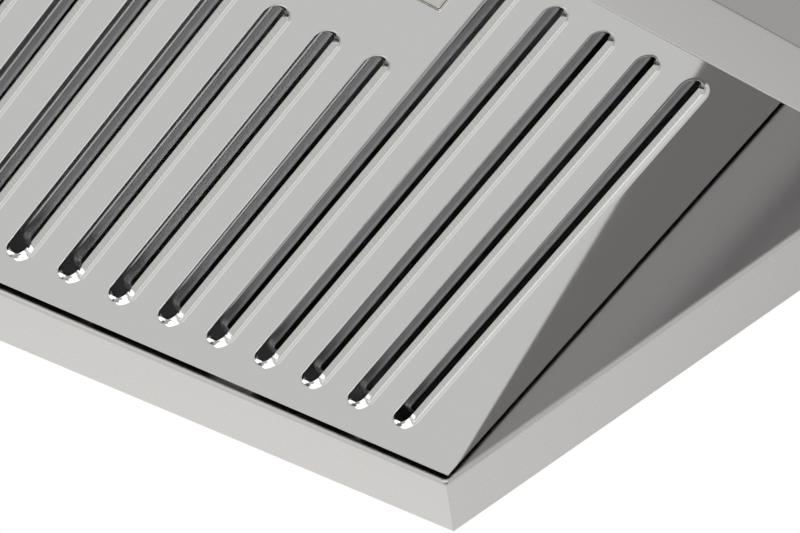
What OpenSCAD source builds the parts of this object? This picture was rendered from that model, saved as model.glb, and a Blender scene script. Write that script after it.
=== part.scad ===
// Range hood insert with two pressed baffle filters, a flat rim all round, a sloped lamp panel
// behind the front rim and a centrifugal blower above. Millimetres, +Z up, the front faces -Y.
// The origin is at the centre of the footprint, level with the underside of the rim.

/* [Filters] */
// Number of slots in one filter, odd so that one lies on the centre line
slot_count = 13; // [9:2:15]
// Distance between neighbouring slots
slot_pitch = 27; // [25:0.5:32]
// Width of a slot across the lines where its lips begin to bend
slot_w = 16.6; // [14:0.2:18]
// How far the lips reach behind the face of their plate
lip_depth = 4.25; // [3.6:0.05:5]
// Angle between a lip and its plate
lip_angle = 60; // [50:1:70]
// Bend radius on the face of a lip
lip_bend = 2.9; // [2:0.1:3.1]
// Distance from a filter's side to the centre line of its outermost slot
side_land = 39.5; // [30:0.5:50]
// Distance from a filter's end to the centre of the slots' round ends
end_land = 20; // [16:0.5:30]
// How much shorter the slots below the latch are
short_by = 58.3; // [52:0.1:90]
// Length of a filter along its slope
filter_len = 250; // [230:1:255]
// Thickness of a filter
filter_h = 20; // [18:0.5:24]
// Sheet thickness of the filters
filter_sheet = 0.8; // [0.6:0.1:1]
// Slope of the filters, low at the rear
filter_slope = 16.6; // [14:0.2:18]
// Bend radius on the face of the filter's edges
filter_bend = 1; // [0.9:0.1:3]

/* [Shell] */
// Depth of the lamp panel from the front wall back to the filters
panel_run = 49.6; // [46:0.1:80]
// Width of the flat rim
rim_w = 30; // [24:1:40]
// Height of the shell above the underside of the rim
shell_h = 112; // [106:1:150]
// Sheet thickness of the shell
shell_sheet = 1; // [0.8:0.1:1.2]
// Radius of the fold between rim and wall
fold_r = 2; // [1.4:0.1:3]
// Width of the hem along the rim's outer edge
hem_w = 9; // [6:1:12]
// Gap beside and between the filters
side_gap = 2.4; // [1.6:0.1:4]
// Gap behind the filters
rear_gap = 2.95; // [2.6:0.05:4]
// Height of the filters' rear edge above the underside of the rim
rear_rise = 1.8; // [1.2:0.1:2.2]

/* [Latch] */
// Width of the window that the latch shows in
window_w = 67; // [50:1:70]
// Length of the window along the slope
window_len = 30; // [26:1:34]
// Distance from the window's front edge to the filter's front edge
window_land = 11; // [10:0.5:14]
// Thickness of the sliding latch plate
slider_t = 1.5; // [1.2:0.1:2]
// Width of the tongue that locks the filter
tongue_w = 40; // [30:1:50]
// How far the latch slides
latch_travel = 7; // [5:0.5:8]

/* [Lamps and buttons] */
// Outer radius of a lamp's trim ring
lamp_r = 24; // [20:0.5:26]
// Distance of the lamps from the middle of the hood
lamp_x = 250; // [200:5:300]
// Number of push buttons
button_count = 5; // [3:1:5]
// Distance between neighbouring buttons
button_pitch = 24; // [20:0.5:28]
// Radius of a button
button_r = 7; // [5:0.5:8]
// How far a button goes in
button_travel = 2; // [1:0.5:3]

/* [Blower] */
// Width of the blower box
box_w = 360; // [320:5:420]
// Depth of the blower box
box_d = 240; // [230:5:260]
// Height of the blower box
box_h = 190; // [185:1:230]
// Outer radius of the impeller
wheel_r = 60; // [50:1:62]
// Width of the impeller
wheel_w = 84; // [60:2:90]
// Number of impeller blades
blade_count = 36; // [24:4:40]
// Radius of the motor
motor_r = 42; // [30:1:46]
// Length of the motor
motor_len = 60; // [50:1:70]
// Radius of the motor shaft
shaft_r = 4; // [3:0.5:5]

/* [Duct collar] */
// Outer radius of the collar that the duct slides over
collar_r = 74.5; // [60:0.5:75]
// Height of the collar
collar_h = 42; // [36:1:60]
// Radius of the rod that the damper flaps turn on
rod_r = 2; // [1.5:0.25:2.5]

/* [Hidden] */
$fn = 48;
overrun = 3;      // how far a cut runs past a face
fit_gap = 0.3;    // gap between pieces that move on each other
turn_gap = 0.1;   // radial gap of a shaft or rod in its bore
bend_steps = 4;   // flats along a bend

filter_w = (slot_count - 1) * slot_pitch + 2 * side_land;
opening_w = 2 * filter_w + 3 * side_gap;

// The catch that the latches lock over lies in front of the filters, under the latch plates
slider_rise = 1.7;
lip_rise = slider_rise - fit_gap - shell_sheet;
lip_gap = 2.5;
opening_d = panel_run + rear_gap + (filter_len + lip_gap) * cos(filter_slope)
    - lip_rise * sin(filter_slope);
rear_y = opening_d / 2;
lip_wall = (lip_depth - lip_bend * (1 - cos(lip_angle))) / sin(lip_angle);
slot_first = side_land;
filter_y = rear_y - rear_gap;
filter_x = [-filter_w - side_gap / 2, side_gap / 2];
middle_slot = (slot_count - 1) / 2;
slots_at_latch = 3;

// Rear tabs that hang each filter in the rear wall
tab_w = 22;
tab_t = 1;
tab_reach = 6;
tab_share = 0.3;   // place along the filter's width, measured from each side
tab_above = 4.6;
tab_rise = rear_rise + tab_above;
tray_rear = slope_point(filter_bend, filter_bend)[0] + filter_bend;
back_in = filter_bend - (filter_bend - filter_sheet) / cos(filter_slope)
    + (filter_h - filter_bend) * tan(filter_slope);

// The filters turn about the underside of their tabs, just in front of the rear wall
pivot_share = 0.35;
hinge_y = rear_y - pivot_share * shell_sheet;
swing_max = 35;
tab_slot_h = 2 * fit_gap + (tab_t + (shell_sheet + rear_y - hinge_y) * sin(swing_max)) / cos(swing_max);

// Latch
slider_side = 3;
slider_front = 0.5;
window_y = -filter_len + window_land;
grip_w = 40;
grip_r = 4;
guide_w = 5;
guide_len = 34;
guide_lip = 2;
tongue_root = 1;
catch_len = 10;

// Lamp panel, a sheet from the front wall up to the catch under the latches
panel_foot = 4;
panel_bend = 14;
panel_low = [-rear_y + shell_sheet, panel_bend];
panel_high = slope_point(filter_len + lip_gap + catch_len, lip_rise);
panel_edge = slope_point(filter_len + lip_gap, lip_rise);
panel_len = norm(panel_high - panel_low);
panel_tilt = atan2(panel_high[1] - panel_low[1], panel_high[0] - panel_low[0]);
lamp_share = 0.6;
lamp_place = lamp_share * panel_len;
lamp_trim = 2.5;
lamp_wall = 4;
lamp_body_len = 10;
lens_t = 3;
trim_margin = 4;
trim_w = button_pitch * button_count + 2 * trim_margin;
trim_h = 2 * button_r + 3 * trim_margin;
trim_t = 2;
button_len = 9;
button_lip = 1.5;
board_gap = 8;
board_t = 1.6;

// Blower
top_z = shell_h + shell_sheet;
box_flange = 12;
box_top = top_z + box_h;
inlet_margin = 20;
wheel_gap = 8;
scroll_spread = 50;
scroll_w = wheel_w + 2 * wheel_gap;
scroll_start = 70;
scroll_down = 270;  // angle of the scroll's lowest point, from +Y
scroll_low_r = wheel_r + wheel_gap;
scroll_high_r = wheel_r + scroll_spread;
scroll_y = -30;
scroll_drop = 2;
scroll_z = top_z + scroll_r(scroll_down) + shell_sheet + scroll_drop;
inlet_step = 8;
inlet_r = wheel_r - inlet_step;
outlet_low = scroll_y + scroll_low_r * cos(scroll_start);
outlet_high = scroll_y + scroll_high_r;
collar_y = (outlet_low + outlet_high) / 2;
motor_gap = 8;
blade_t = 0.8;
blade_depth = 9;
ring_w = 3;
hub_r = 12;
hub_len = 30;

// Collar and dampers
collar_sheet = 1;
flap_t = 1;
flap_gap = 1.2;
rod_share = 0.4;    // height of the rod as a share of the collar's
rod_z = box_top + rod_share * collar_h;
knuckle_t = 1;
knuckle_len = 18;
stop_w = 3;

// Terminal box
term_size = [110, 70, 48];
term_pos = [250, -45];
term_sheet = 1.2;
bushing_r = 11;
bushing_bore = 8;
bushing_flange = 3;
bushing_len = 12;

// Screw holes in the side walls
screw_r = 2.5;
screw_d = 200;
screw_low = 40;
screw_high = 90;

// Relief hole where the folds of two walls meet
relief_r = 1.2;

// Geometry helpers

function unit(v) = v / norm(v);
function left_of(v) = [-v[1], v[0]];
function mitre(a, b, c, t) =
    let (m = left_of(unit(b - a)), n = left_of(unit(c - b))) b + t * (m + n) / (1 + m * n);

// Path moved to its left by t
function moved(path, t) = let (last = len(path) - 1) [for (i = [0:last])
    i == 0 ? path[0] + t * left_of(unit(path[1] - path[0]))
    : i == last ? path[i] + t * left_of(unit(path[i] - path[i - 1]))
    : mitre(path[i - 1], path[i], path[i + 1], t)];

function reversed(path) = [for (i = [len(path) - 1:-1:0]) path[i]];

// Outline of a sheet of thickness t whose right-hand face follows a path
function strip(path, t) = concat(path, reversed(moved(path, t)));

function arc(centre, r, from, to, steps = bend_steps) =
    [for (i = [0:steps]) let (a = from + (to - from) * i / steps) centre + r * [cos(a), sin(a)]];

// Point in the plane of Y and Z at a distance along the filters' slope and a height above their face
function slope_point(along, rise) = [
    filter_y - along * cos(filter_slope) + rise * sin(filter_slope),
    rear_rise + along * sin(filter_slope) + rise * cos(filter_slope)];

// Extrudes an outline in Y and Z along X, centred
module along_x(length) {
    translate([-length / 2, 0, 0]) rotate([90, 0, 90]) linear_extrude(length) children();
}

// Block given by its low corner, its size and how far it runs past each face in Z
module cut_block(low, size, past = overrun) {
    translate([low[0], low[1], low[2] - past]) cube([size[0], size[1], size[2] + 2 * past]);
}

// Shell

// Section of a wall with its rim: x is the distance outward from the wall's inner face
module wall_section() {
    s = shell_sheet;
    polygon(concat(
        [[rim_w - s, 0]],
        arc([rim_w - s, s], s, -90, 90),
        [[rim_w - hem_w, 2 * s], [rim_w - hem_w, s]],
        arc([fold_r, fold_r], fold_r - s, 270, 180),
        [[s, shell_h], [-box_flange, shell_h], [-box_flange, shell_h - s], [0, shell_h - s]],
        arc([fold_r, fold_r], fold_r, 180, 270)));
}

// One wall at the +Y side of an opening of a given length and depth, mitred at both ends
module wall(length, depth) {
    half = length / 2 + rim_w;
    reach = rim_w + box_flange + overrun;
    translate([0, depth / 2, 0]) difference() {
        intersection() {
            along_x(2 * half + overrun) wall_section();
            translate([0, 0, -overrun]) linear_extrude(shell_h + 2 * overrun) polygon([[-half, rim_w],
                [half, rim_w], [half - reach, rim_w - reach], [reach - half, rim_w - reach]]);
        }
        for (x = [-length / 2, length / 2]) translate([x, 0, -overrun])
            cylinder(r = relief_r, h = fold_r + overrun);
    }
}

// Slots in the rear wall that the filters' tabs hang in
module tab_slots() {
    for (x = filter_x, share = [tab_share, 1 - tab_share])
        translate([x + share * filter_w - tab_w / 2 - fit_gap, rear_y - overrun, tab_rise - fit_gap])
            cube([tab_w + 2 * fit_gap, shell_sheet + 2 * overrun, tab_slot_h]);
}

// Screw holes of one side wall, at the middle of the wall in X
module side_holes() {
    for (y = [-screw_d / 2, screw_d / 2], z = [screw_low, screw_high])
        translate([0, y, z]) rotate([0, 90, 0])
            cylinder(r = screw_r, h = shell_sheet + 2 * overrun, center = true);
}

module rear_wall() {
    color("#c9c8c4") difference() {
        wall(opening_w, opening_d);
        tab_slots();
    }
}

module front_wall() {
    color("#c9c8c4") rotate([0, 0, 180]) wall(opening_w, opening_d);
}

module side_wall(side) {
    color("#bdbcb8") difference() {
        rotate([0, 0, -90 * side]) wall(opening_d, opening_w);
        translate([side * (opening_w + shell_sheet) / 2, 0, 0]) side_holes();
    }
}

module left_wall() {
    side_wall(-1);
}

module right_wall() {
    side_wall(1);
}

module top_plate() {
    w = opening_w + 2 * shell_sheet;
    d = opening_d + 2 * shell_sheet;
    hole = [box_w - 2 * inlet_margin, box_d - 2 * inlet_margin];
    color("#b4b4b2") difference() {
        translate([-w / 2, -d / 2, shell_h]) cube([w, d, shell_sheet]);
        cut_block([-hole[0] / 2, -hole[1] / 2, shell_h], [hole[0], hole[1], shell_sheet]);
    }
}

// Rivet heads along the front and rear of the top plate
module shell_rivets() {
    rivet_r = 3;
    rivet_h = 1.2;
    rivet_shares = [-0.44, -0.3, 0.3, 0.44];
    color("#9a9a98") for (x = rivet_shares, y = [-1, 1])
        translate([x * opening_w, y * (rear_y - box_flange / 2), top_z])
            cylinder(r = rivet_r, h = rivet_h);
}

// Lamp panel and controls

// Places its children on the panel: X across the hood, Y up the slope, +Z to the hidden side
module on_panel(x, up) {
    translate([x, panel_low[0], panel_low[1]]) rotate([panel_tilt, 0, 0]) translate([0, up, 0])
        children();
}

module lamp_panel() {
    color("#bdbcb8") difference() {
        along_x(opening_w)
            polygon(strip([[panel_low[0], panel_foot], panel_low, panel_high, panel_edge], shell_sheet));
        for (x = [-lamp_x, lamp_x])
            on_panel(x, lamp_place) translate([0, 0, -overrun])
                cylinder(r = lamp_r - lamp_wall, h = shell_sheet + 2 * overrun);
        for (i = [0:button_count - 1])
            on_panel(button_x(i), lamp_place) translate([0, 0, -overrun])
                cylinder(r = button_r + button_lip + fit_gap, h = shell_sheet + 2 * overrun);
    }
}

module lamp_trim_ring(x) {
    color("#d8d8d6") on_panel(x, lamp_place) rotate_extrude()
        polygon([[lamp_r - lamp_wall, 0], [lamp_r, 0], [lamp_r, -lamp_trim / 2],
            [lamp_r - lamp_wall / 2, -lamp_trim], [lamp_r - lamp_wall, -lamp_trim]]);
}

module lamp_lens(x) {
    color("#f2f3ef") on_panel(x, lamp_place) translate([0, 0, -lens_t / 2])
        cylinder(r = lamp_r - lamp_wall, h = lens_t);
}

// Heat sink of a lamp, ribbed, behind the lens
module lamp_body(x) {
    ribs = 4;
    core_share = 0.8;
    r = lamp_r - lamp_wall;
    step = lamp_body_len / ribs;
    color("#5c5e60") on_panel(x, lamp_place) translate([0, 0, lens_t / 2]) {
        cylinder(r = r * core_share, h = lamp_body_len);
        for (i = [0:ribs - 1]) translate([0, 0, i * step]) cylinder(r = r, h = step / 2);
    }
}

module lamp_left_trim() {
    lamp_trim_ring(-lamp_x);
}

module lamp_right_trim() {
    lamp_trim_ring(lamp_x);
}

module lamp_left_lens() {
    lamp_lens(-lamp_x);
}

module lamp_right_lens() {
    lamp_lens(lamp_x);
}

module lamp_left_body() {
    lamp_body(-lamp_x);
}

module lamp_right_body() {
    lamp_body(lamp_x);
}

function button_x(i) = (i - (button_count - 1) / 2) * button_pitch;

// Raised trim that the buttons stand in
module button_trim() {
    color("#9fa0a0") difference() {
        on_panel(0, lamp_place) translate([-trim_w / 2, -trim_h / 2, -trim_t])
            cube([trim_w, trim_h, trim_t]);
        for (i = [0:button_count - 1]) on_panel(button_x(i), lamp_place)
            translate([0, 0, -trim_t - overrun])
                cylinder(r = button_r + fit_gap, h = trim_t + 2 * overrun);
    }
}

// Push button with a collar that rests behind the trim
module button(i) {
    color("#3b3d40") if (i < button_count) on_panel(button_x(i), lamp_place) {
        translate([0, 0, -trim_t - button_lip - button_travel])
            cylinder(r = button_r, h = button_len);
        translate([0, 0, fit_gap]) cylinder(r = button_r + button_lip, h = button_lip);
    }
}

module button_1() {
    button(0);
}

module button_2() {
    button(1);
}

module button_3() {
    button(2);
}

module button_4() {
    button(3);
}

module button_5() {
    button(4);
}

// Circuit board behind the buttons on four posts
module control_board() {
    post_r = 3;
    color("#3f6b4c") on_panel(0, lamp_place) {
        translate([-trim_w / 2, -trim_h / 2, board_gap]) cube([trim_w, trim_h, board_t]);
        for (x = [-1, 1], y = [-1, 1])
            translate([x * (trim_w / 2 - post_r), y * (trim_h / 2 - post_r), shell_sheet])
                cylinder(r = post_r, h = board_gap - shell_sheet);
    }
}

// Blower

module blower_box() {
    inner = [box_w - 2 * shell_sheet, box_d - 2 * shell_sheet];
    color("#aeb0b1") difference() {
        union() {
            translate([-box_w / 2, -box_d / 2, top_z]) cube([box_w, box_d, box_h]);
            translate([-box_w / 2 - box_flange, -box_d / 2 - box_flange, top_z])
                cube([box_w + 2 * box_flange, box_d + 2 * box_flange, shell_sheet]);
        }
        translate([-inner[0] / 2, -inner[1] / 2, top_z - overrun])
            cube([inner[0], inner[1], box_h - shell_sheet + overrun]);
        cut_block([-scroll_w / 2, outlet_low, box_top], [scroll_w, outlet_high - outlet_low, 0]);
    }
}

// Radius of the scroll at an angle from +Y, growing towards the outlet
function scroll_r(a) =
    scroll_low_r + (scroll_high_r - scroll_low_r) * (a - scroll_start) / (360 - scroll_start);

// Path of the scroll's sheet from the tongue round to the outlet
function scroll_path() = let (steps = 24, roof = box_top - shell_sheet, c = [scroll_y, scroll_z]) concat(
    [[outlet_low, roof]],
    [for (i = [0:steps]) let (a = scroll_start + (360 - scroll_start) * i / steps)
        c + scroll_r(a) * [cos(a), sin(a)]],
    [[outlet_high, roof]]);

module scroll_wrap() {
    color("#b9bbbc") along_x(scroll_w) polygon(strip(scroll_path(), -shell_sheet));
}

// Side plate of the scroll with its inlet
module scroll_side(side) {
    lip = 6;
    color("#b9bbbc") translate([side * (scroll_w + shell_sheet) / 2, 0, 0]) difference() {
        union() {
            along_x(shell_sheet) polygon(moved(scroll_path(), -shell_sheet));
            translate([0, scroll_y, scroll_z]) rotate([0, side * 90, 0])
                cylinder(r = inlet_r + shell_sheet, h = lip);
        }
        translate([0, scroll_y, scroll_z]) rotate([0, 90, 0])
            cylinder(r = inlet_r, h = 2 * (lip + overrun), center = true);
    }
}

module scroll_left_side() {
    scroll_side(-1);
}

module scroll_right_side() {
    scroll_side(1);
}

// Places its children on the blower's axis: +Z runs along +X
module on_axis(x) {
    translate([x, scroll_y, scroll_z]) rotate([0, 90, 0]) children();
}

// Section of a forward-curved blade, at the rim of the wheel
module blade_section() {
    polygon(strip(arc([wheel_r - blade_depth, blade_depth], blade_depth, 270, 340), blade_t));
}

module impeller() {
    color("#8e9092") on_axis(0) {
        difference() {
            union() {
                cylinder(r = wheel_r - blade_depth / 2, h = blade_t * 2, center = true);
                for (a = [0:blade_count - 1]) rotate([0, 0, 360 * a / blade_count])
                    translate([0, 0, -wheel_w / 2]) linear_extrude(wheel_w) blade_section();
            }
            cylinder(r = hub_r, h = wheel_w, center = true);
        }
        for (z = [-wheel_w / 2, wheel_w / 2 - ring_w]) translate([0, 0, z]) difference() {
            cylinder(r = wheel_r + blade_t, h = ring_w);
            translate([0, 0, -overrun]) cylinder(r = wheel_r - blade_depth, h = ring_w + 2 * overrun);
        }
    }
}

module impeller_hub() {
    color("#6f7173") on_axis(-hub_len / 2) difference() {
        cylinder(r = hub_r, h = hub_len);
        translate([0, 0, -overrun]) cylinder(r = shaft_r, h = hub_len + 2 * overrun);
    }
}

function motor_x() = scroll_w / 2 + shell_sheet + motor_gap;

module shaft() {
    color("#c3c5c6") on_axis(-hub_len / 2)
        cylinder(r = shaft_r, h = hub_len / 2 + motor_x() + motor_len / 2);
}

module motor() {
    bell = 8;
    color("#4b4d50") on_axis(motor_x()) difference() {
        union() {
            cylinder(r1 = motor_r - bell, r2 = motor_r, h = bell);
            translate([0, 0, bell]) cylinder(r = motor_r, h = motor_len - 2 * bell);
            translate([0, 0, motor_len - bell]) cylinder(r1 = motor_r, r2 = motor_r - bell, h = bell);
        }
        translate([0, 0, -overrun]) cylinder(r = shaft_r + turn_gap, h = motor_len / 2 + 2 * overrun);
    }
}

// Ring round the motor with three arms down to the scroll's side plate
module motor_bracket() {
    band_t = 2;
    band_w = 16;
    arm_w = 14;
    foot = 10;
    arm_gap = 8;
    arm_r = inlet_r + arm_gap;
    low = scroll_w / 2 + shell_sheet;
    high = motor_x() + (motor_len + band_w) / 2;
    color("#8a8c8e") on_axis(0) {
        translate([0, 0, high - band_w]) difference() {
            cylinder(r = motor_r + band_t, h = band_w);
            translate([0, 0, -overrun]) cylinder(r = motor_r, h = band_w + 2 * overrun);
        }
        for (a = [60:120:300]) rotate([0, 0, a]) {
            translate([arm_r, -arm_w / 2, low]) cube([band_t, arm_w, high - low]);
            translate([motor_r + band_t / 2, -arm_w / 2, high - band_t])
                cube([arm_r - motor_r, arm_w, band_t]);
            translate([arm_r, -arm_w / 2, low]) cube([foot, arm_w, band_t]);
        }
    }
}

// Duct collar and dampers

module duct_collar() {
    flange = 8;
    color("#b9bbbc") translate([0, collar_y, box_top]) difference() {
        union() {
            cylinder(r = collar_r + flange, h = collar_sheet);
            cylinder(r = collar_r, h = collar_h);
        }
        difference() {
            translate([0, 0, -overrun]) cylinder(r = collar_r - collar_sheet, h = collar_h + 2 * overrun);
            flap_stop();
        }
        translate([0, 0, rod_share * collar_h]) rotate([0, 90, 0])
            cylinder(r = rod_r, h = 2 * collar_r + overrun, center = true);
    }
}

// Ring inside the collar that the closed flaps rest on
module flap_stop() {
    translate([0, 0, rod_share * collar_h - flap_t / 2 - fit_gap - collar_sheet]) difference() {
        cylinder(r = collar_r, h = collar_sheet);
        translate([0, 0, -overrun])
            cylinder(r = collar_r - collar_sheet - stop_w, h = collar_sheet + 2 * overrun);
        cube([2 * collar_r, 4 * (rod_r + knuckle_t + turn_gap), 2 * overrun], center = true);
    }
}

module damper_rod() {
    color("#c3c5c6") translate([0, collar_y, rod_z]) rotate([0, 90, 0])
        cylinder(r = rod_r, h = 2 * collar_r, center = true);
}

// Half-round flap at the side that `side` gives, hung on the rod by two knuckles
module damper(side) {
    r = collar_r - collar_sheet - flap_gap;
    knuckle_r = rod_r + turn_gap + knuckle_t;
    hinge_share = 0.55;
    color("#a3a5a6") translate([0, collar_y, rod_z]) difference() {
        union() {
            intersection() {
                translate([0, 0, -flap_t / 2]) cylinder(r = r, h = flap_t);
                translate([-r, side > 0 ? knuckle_r + fit_gap : -r - knuckle_r - fit_gap, -overrun])
                    cube([2 * r, r, 2 * overrun]);
            }
            for (share = [-hinge_share, hinge_share])
                translate([share * r + side * knuckle_len / 2, 0, 0]) {
                rotate([0, 90, 0]) cylinder(r = knuckle_r, h = knuckle_len - fit_gap, center = true);
                translate([(fit_gap - knuckle_len) / 2, side > 0 ? 0 : -2 * knuckle_r, -flap_t / 2])
                    cube([knuckle_len - fit_gap, 2 * knuckle_r, flap_t]);
            }
        }
        rotate([0, 90, 0]) cylinder(r = rod_r + turn_gap, h = 2 * collar_r, center = true);
    }
}

module damper_front() {
    damper(-1);
}

module damper_rear() {
    damper(1);
}

// Mains connection

module terminal_box() {
    s = term_sheet;
    color("#aeb0b1") translate([term_pos[0], term_pos[1], top_z]) difference() {
        cube(term_size);
        translate([s, s, s]) cube(term_size - [2 * s, 2 * s, 0]);
        translate([term_size[0] - overrun, term_size[1] / 2, term_size[2] / 2]) rotate([0, 90, 0])
            cylinder(r = bushing_r, h = 2 * overrun);
    }
}

module terminal_cover() {
    screw_head = 3;
    head_h = 1.5;
    screw_shares = [0.1, 0.9];
    color("#9a9c9e") translate([term_pos[0], term_pos[1], top_z + term_size[2]]) {
        cube([term_size[0], term_size[1], term_sheet]);
        for (x = screw_shares) translate([x * term_size[0], term_size[1] / 2, term_sheet])
            cylinder(r = screw_head, h = head_h);
    }
}

// Bushing for the supply cable
module cable_bushing() {
    place = [term_pos[0] + term_size[0], term_pos[1] + term_size[1] / 2, top_z + term_size[2] / 2];
    color("#2b2c2e") translate(place)
        rotate([0, 90, 0]) difference() {
            union() {
                translate([0, 0, -bushing_len + bushing_flange]) cylinder(r = bushing_r, h = bushing_len);
                cylinder(r = bushing_r + bushing_flange, h = bushing_flange);
            }
            translate([0, 0, -bushing_len])
                cylinder(r = bushing_bore, h = bushing_len + bushing_flange + overrun);
        }
}

// Filters

// Places its children on a filter: X from its left side, Y from -filter_len at the front to 0 at
// the rear, Z up from its face
module on_filter(side) {
    translate([filter_x[side], filter_y, rear_rise]) rotate([-filter_slope, 0, 0]) children();
}

// Section of a pressed lip: x is the distance from the slot's centre line, the face is at 0
module lip_section() {
    s = filter_sheet;
    b = lip_bend;
    centre = [slot_w / 2, b];
    along = lip_wall * [-cos(lip_angle), sin(lip_angle)];
    face = arc(centre, b, 270, 270 - lip_angle);
    back = arc(centre, b - s, 270 - lip_angle, 270);
    polygon(concat(face, [face[bend_steps] + along, back[0] + along], back));
}

// Lips round one slot between two end centres, given by their distances from the rear edge
module slot_lips(low, high) {
    for (flip = [0, 1]) mirror([flip, 0, 0]) translate([0, -low, 0]) rotate([90, 0, 0])
        linear_extrude(high - low) lip_section();
    translate([0, -low, 0]) rotate_extrude(angle = 180) lip_section();
    translate([0, -high, 0]) rotate([0, 0, 180]) rotate_extrude(angle = 180) lip_section();
}

// Hole that one slot's lips are set in
module slot_hole(low, high) {
    r = slot_w / 2;
    for (y = [low, high]) translate([0, -y, -overrun]) cylinder(r = r, h = filter_sheet + 2 * overrun);
    translate([-r, -high, -overrun]) cube([2 * r, high - low, filter_sheet + 2 * overrun]);
}

function at_latch(i) = abs(i - middle_slot) < slots_at_latch / 2;
function slot_high(i) = filter_len - end_land - (at_latch(i) ? short_by : 0);

// Tray section with rounded lower corners, from 0 to a width, drawn in by `inset` on three sides.
// Its far side leans in by the angle `lean`
module tray_section(width, inset, lean = 0) {
    r = filter_bend - inset;
    top = filter_h + inset;
    far = arc([width - filter_bend, filter_bend], r, 270, 360 + lean);
    foot = far[bend_steps];
    polygon(concat(
        arc([filter_bend, filter_bend], r, 180, 270), far,
        [[foot[0] - (top - foot[1]) * tan(lean), top], [inset, top]]));
}

// Closed block of a tray's outer or inner shape; its rear wall stands upright in the sloped filter
module tray_block(inset) {
    intersection() {
        rotate([90, 0, 0]) linear_extrude(filter_len) tray_section(filter_w, inset);
        translate([0, -filter_len, 0]) rotate([90, 0, 90]) linear_extrude(filter_w)
            tray_section(filter_len, inset, filter_slope);
    }
}

// Front plate: a tray with raised edges, pressed slots, a window for the latch and rear tabs
module filter_pan(side) {
    drain_r = 2.5;
    drain_shares = [0.12, 0.5, 0.88];
    tongue_slot = [tongue_w + 2 * fit_gap, 2 * overrun, slider_t + 2 * fit_gap];
    color("#d4d3d0") {
        on_filter(side) {
            difference() {
                tray_block(0);
                tray_block(filter_sheet);
                for (i = [0:slot_count - 1]) translate([slot_first + i * slot_pitch, 0, 0])
                    slot_hole(end_land, slot_high(i));
                cut_block([(filter_w - window_w) / 2, window_y, 0], [window_w, window_len, filter_sheet]);
                translate([(filter_w - tongue_slot[0]) / 2, -filter_len - overrun, slider_rise - fit_gap])
                    cube(tongue_slot);
                for (share = drain_shares)
                    translate([share * filter_w, 0, filter_h / 3]) rotate([90, 0, 0])
                        cylinder(r = drain_r, h = 4 * overrun, center = true);
            }
            for (i = [0:slot_count - 1]) translate([slot_first + i * slot_pitch, 0, 0])
                slot_lips(end_land, slot_high(i));
        }
        for (share = [tab_share, 1 - tab_share])
            translate([filter_x[side] + share * filter_w - tab_w / 2, tray_rear - filter_sheet, tab_rise])
                cube([tab_w, rear_y + shell_sheet + tab_reach - tray_rear + filter_sheet, tab_t]);
    }
}

// Rear plate: its slots lie half a pitch off and their lips point at the front plate
module filter_back(side) {
    s = filter_sheet;
    back_share = 0.5;
    color("#b2b1ae") on_filter(side) translate([0, 0, filter_h]) mirror([0, 0, 1]) {
        difference() {
            translate([s, s - filter_len, 0])
                cube([filter_w - 2 * s, filter_len - s - back_in - fit_gap, s]);
            for (i = [0:slot_count]) translate([slot_first + (i - back_share) * slot_pitch, 0, 0])
                slot_hole(end_land, filter_len - end_land);
        }
        for (i = [0:slot_count]) translate([slot_first + (i - back_share) * slot_pitch, 0, 0])
            slot_lips(end_land, filter_len - end_land);
    }
}

// Spacers that join the two plates at the corners and beside the latch
module filter_spacers(side) {
    r = 4;
    x_shares = [0.03, 0.97];
    y_shares = [0.05, 0.95];
    color("#9a9a98") on_filter(side) for (x = x_shares, y = y_shares)
        translate([x * filter_w, -y * filter_len, filter_sheet])
            cylinder(r = r, h = filter_h - 2 * filter_sheet);
}

// Two folded guides beside the window that the latch plate slides in
module filter_guides(side) {
    half = window_w / 2 + slider_side + fit_gap;
    rise = slider_rise + slider_t + fit_gap;
    path = [[half + guide_w, filter_sheet], [half, filter_sheet], [half, rise], [half - guide_lip, rise]];
    color("#a5a5a2") on_filter(side) translate([filter_w / 2, -filter_len + 2 * filter_bend, 0])
        for (flip = [0, 1]) mirror([flip, 0, 0]) translate([0, guide_len, 0]) rotate([90, 0, 0])
            linear_extrude(guide_len) polygon(strip(path, -filter_sheet));
}

// Sliding plate with the tongue, drawn back as when the filter is free to swing
module filter_slider(side) {
    w = window_w + 2 * slider_side;
    front = -filter_len + filter_bend + filter_sheet + latch_travel;
    back = window_y + window_len + latch_travel + slider_side;
    color("#cfccc6") on_filter(side) translate([filter_w / 2, 0, slider_rise]) {
        translate([-w / 2, front, 0]) cube([w, back - front, slider_t]);
        translate([-tongue_w / 2, -filter_len - slider_front, 0])
            cube([tongue_w, front + filter_len + slider_front + tongue_root, slider_t]);
    }
}

// Rounded bar on the sliding plate for a finger
module filter_grip(side) {
    place = [filter_w / 2, window_y + window_len / 2, slider_rise];
    color("#c2bfb9") on_filter(side) translate(place) intersection() {
        rotate([0, 90, 0]) cylinder(r = grip_r, h = grip_w, center = true);
        translate([-grip_w / 2, -grip_r, -2 * grip_r]) cube([grip_w, 2 * grip_r, 2 * grip_r]);
    }
}

module filter_left_pan() {
    filter_pan(0);
}

module filter_left_back() {
    filter_back(0);
}

module filter_left_spacers() {
    filter_spacers(0);
}

module filter_left_guides() {
    filter_guides(0);
}

module filter_left_slider() {
    filter_slider(0);
}

module filter_left_grip() {
    filter_grip(0);
}

module filter_right_pan() {
    filter_pan(1);
}

module filter_right_back() {
    filter_back(1);
}

module filter_right_spacers() {
    filter_spacers(1);
}

module filter_right_guides() {
    filter_guides(1);
}

module filter_right_slider() {
    filter_slider(1);
}

module filter_right_grip() {
    filter_grip(1);
}

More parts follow.
